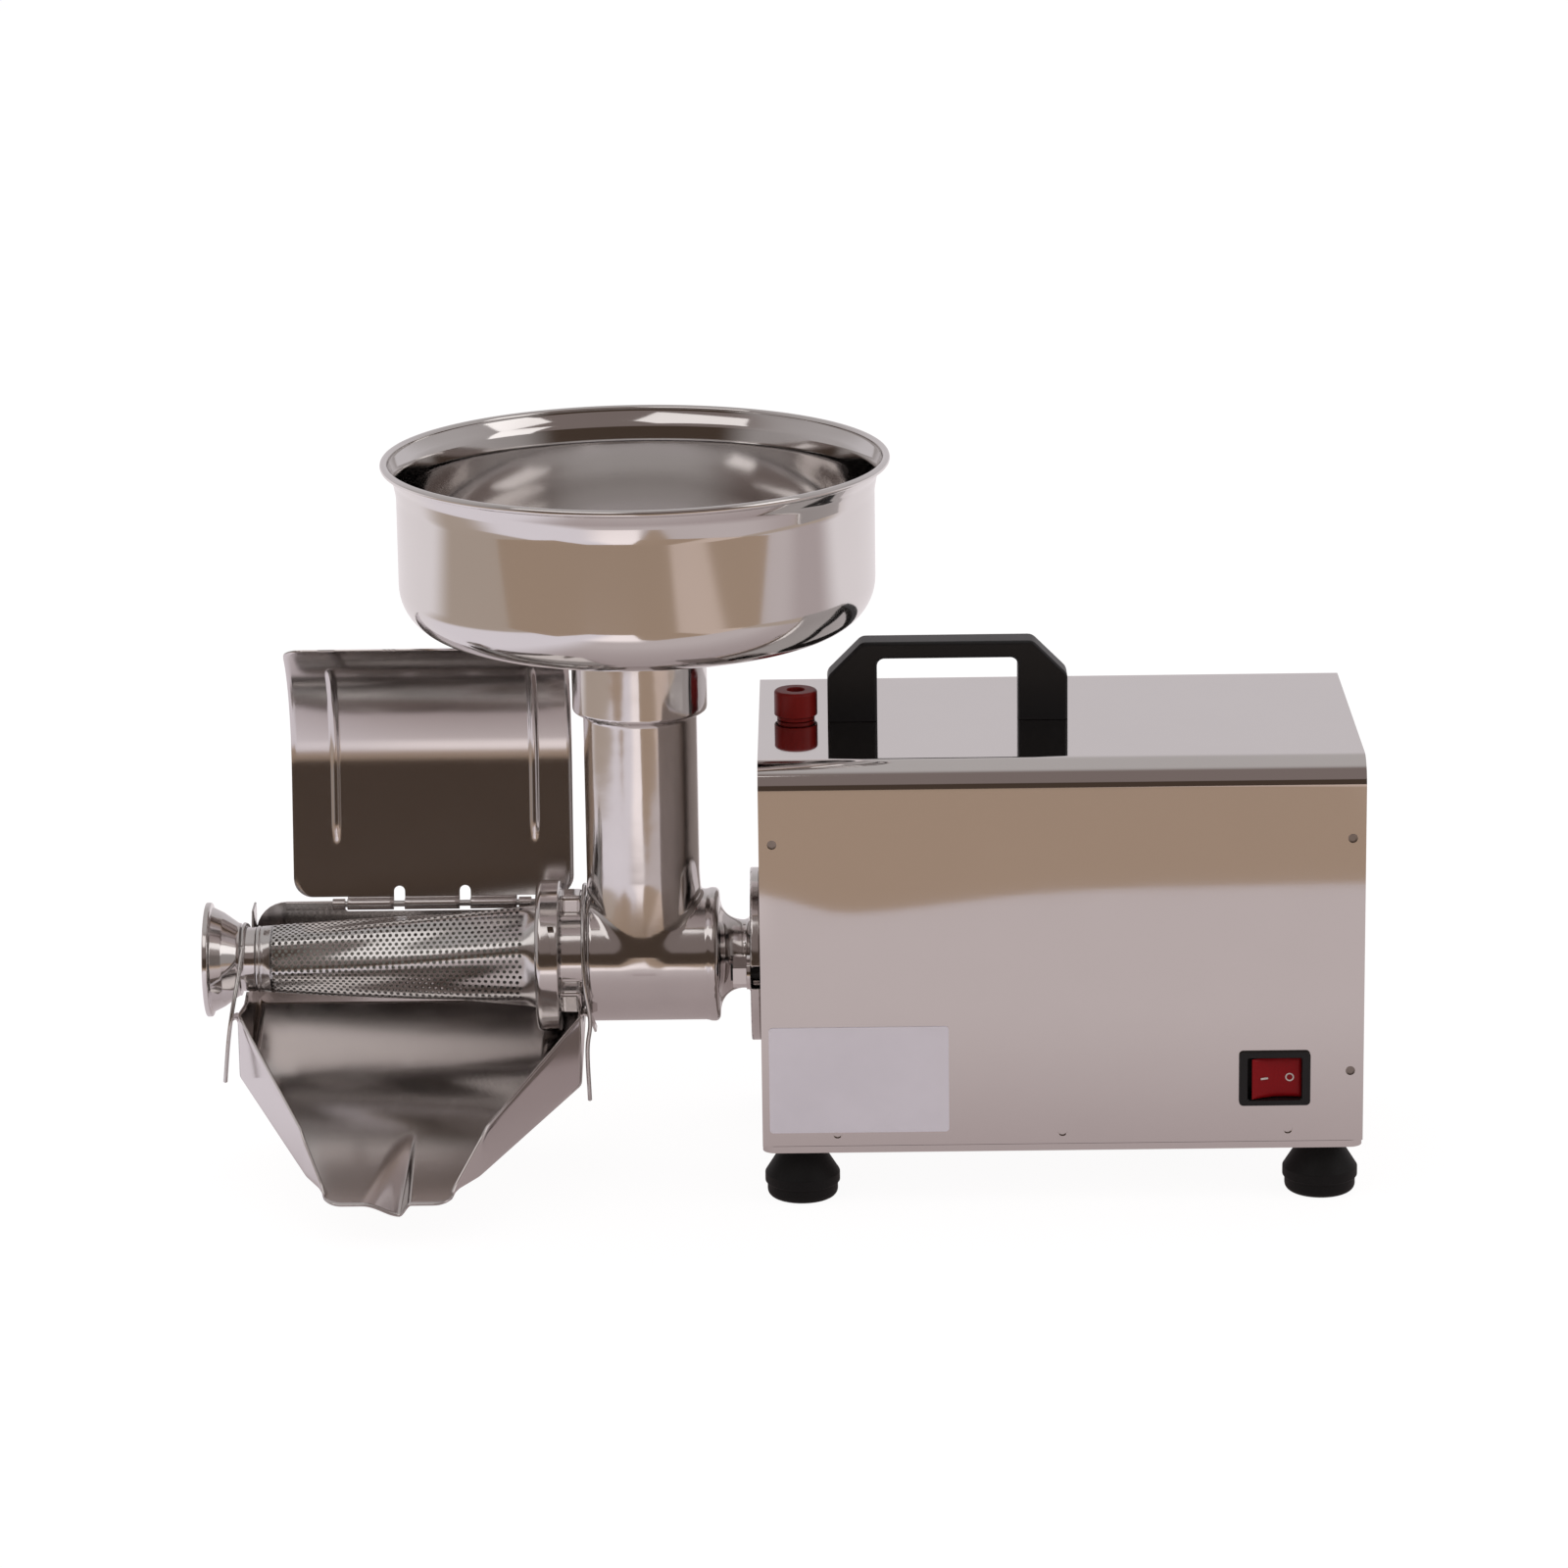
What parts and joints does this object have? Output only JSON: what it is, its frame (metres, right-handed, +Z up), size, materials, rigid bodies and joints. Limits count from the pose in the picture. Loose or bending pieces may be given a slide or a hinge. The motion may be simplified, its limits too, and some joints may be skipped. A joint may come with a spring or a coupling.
{
  "type": "electric tomato press",
  "caption": "Tabletop electric tomato press with a steel motor box, round hopper, conical perforated strainer, juice chute, waste nozzle and hinged splash cover.",
  "frame": {"origin": "on the table, under the middle of the bounding box", "axes": "+X along the press axis from the waste nozzle to the motor box, +Y to the back, +Z up"},
  "size_m": [0.535, 0.25, 0.335],
  "materials": {
    "polished_steel": "mirror-polished stainless steel",
    "perforated_steel": "polished perforated stainless steel",
    "screw_steel": "zinc-plated steel",
    "black_plastic": "satin black moulded plastic",
    "black_rubber": "black rubber",
    "black_steel": "black-oxide steel",
    "red_rocker": "dark red gloss plastic",
    "red_cap": "red gloss plastic",
    "label_film": "blank pale satin film",
    "cast_aluminium": "die-cast aluminium",
    "machined_steel": "machined steel",
    "laminations": "stacked electrical steel",
    "copper": "varnished copper wire",
    "fan_plastic": "dark grey nylon",
    "terminal_plastic": "cream nylon",
    "bronze": "sintered bronze",
    "food_plastic": "white food-grade nylon"
  },
  "bodies": {
    "root": {"base_tray": "polished_steel", "wrap_cover": "polished_steel", "left_panel": "polished_steel", "right_panel": "polished_steel", "grinder_body": "polished_steel", "outlet_nozzle": "polished_steel", "chute": "polished_steel", "hinge_rod": "polished_steel", "stud_washers": "polished_steel", "stud_nuts": "polished_steel", "strainer_cone": "perforated_steel", "foot_screws": "screw_steel", "case_screws": "screw_steel", "handle_screws": "screw_steel", "gearbox_screws": "screw_steel", "motor_bolts": "screw_steel", "bracket_screws": "screw_steel", "reset_spring": "screw_steel", "carry_handle": "black_plastic", "switch_housing": "black_plastic", "overload_breaker": "black_plastic", "cable_gland": "black_plastic", "capacitor_clamp": "black_plastic", "foot_front_left": "black_rubber", "foot_front_right": "black_rubber", "foot_rear_left": "black_rubber", "foot_rear_right": "black_rubber", "shaft_seal": "black_rubber", "strainer_gasket": "black_rubber", "head_studs": "black_steel", "reset_nut": "red_cap", "label_plate": "label_film", "gearbox_housing": "cast_aluminium", "gearbox_cover": "cast_aluminium", "front_end_bell": "cast_aluminium", "rear_end_bell": "cast_aluminium", "run_capacitor": "cast_aluminium", "output_bearings": "machined_steel", "motor_bearings": "machined_steel", "motor_bracket": "machined_steel", "stator_core": "laminations", "stator_windings": "copper", "terminal_block": "terminal_plastic", "screw_bush": "bronze"},
    "drive": {"output_shaft": "machined_steel", "output_gear": "machined_steel", "feed_screw": "food_plastic"},
    "idler": {"idler_gear": "machined_steel"},
    "rotor": {"motor_shaft": "machined_steel", "rotor_core": "laminations", "cooling_fan": "fan_plastic"},
    "rocker": {"switch_rocker": "red_rocker"},
    "button": {"reset_button": "red_cap"},
    "cover": {"splash_cover": "polished_steel"},
    "left_clip": {"clip_left": "polished_steel"},
    "right_clip": {"clip_right": "polished_steel"},
    "ring": {"locking_ring": "polished_steel"},
    "bowl": {"hopper": "polished_steel"}
  },
  "joints": [
    {"name": "output_spin", "type": "hinge", "parent": "root", "child": "drive", "pos_m": [-0.03, 0.008, 0.096], "axis": [1, 0, 0], "continuous": true},
    {"name": "idler_spin", "type": "hinge", "parent": "root", "child": "idler", "pos_m": [0.02, 0.04053, 0.12853], "axis": [1, 0, 0], "continuous": true},
    {"name": "rotor_spin", "type": "hinge", "parent": "root", "child": "rotor", "pos_m": [0.1, 0.008, 0.096], "axis": [1, 0, 0], "continuous": true},
    {"name": "rocker_tip", "type": "hinge", "parent": "root", "child": "rocker", "pos_m": [0.227, -0.0725, 0.0596], "axis": [0, 0, 1], "range_deg": [-18, 0]},
    {"name": "reset_press", "type": "slide", "parent": "root", "child": "button", "axis": [0, 0, -1], "range_m": [0, 0.0018], "stiffness_N_per_m": 900, "springref_m": -0.002, "deforming": ["reset_spring"]},
    {"name": "cover_swing", "type": "hinge", "parent": "root", "child": "cover", "pos_m": [-0.163, 0.0465, 0.111], "axis": [1, 0, 0], "range_deg": [0, 62]},
    {"name": "left_clip_swing", "type": "hinge", "parent": "root", "child": "left_clip", "pos_m": [-0.24385, 0.04298, 0.09], "axis": [-1, 0, 0], "range_deg": [0, 50]},
    {"name": "right_clip_swing", "type": "hinge", "parent": "root", "child": "right_clip", "pos_m": [-0.0887, 0.04298, 0.09], "axis": [-1, 0, 0], "range_deg": [0, 50]},
    {"name": "ring_turn", "type": "hinge", "parent": "root", "child": "ring", "pos_m": [-0.1073, 0.008, 0.096], "axis": [1, 0, 0], "range_deg": [0, 30]},
    {"name": "hopper_lift", "type": "slide", "parent": "root", "child": "bowl", "axis": [0, 0, 1], "range_m": [0, 0.06]}
  ],
  "couplings": [
    {"joint": "idler_spin", "follows": "output_spin", "ratio": -2.8},
    {"joint": "rotor_spin", "follows": "output_spin", "ratio": 12.6}
  ]
}
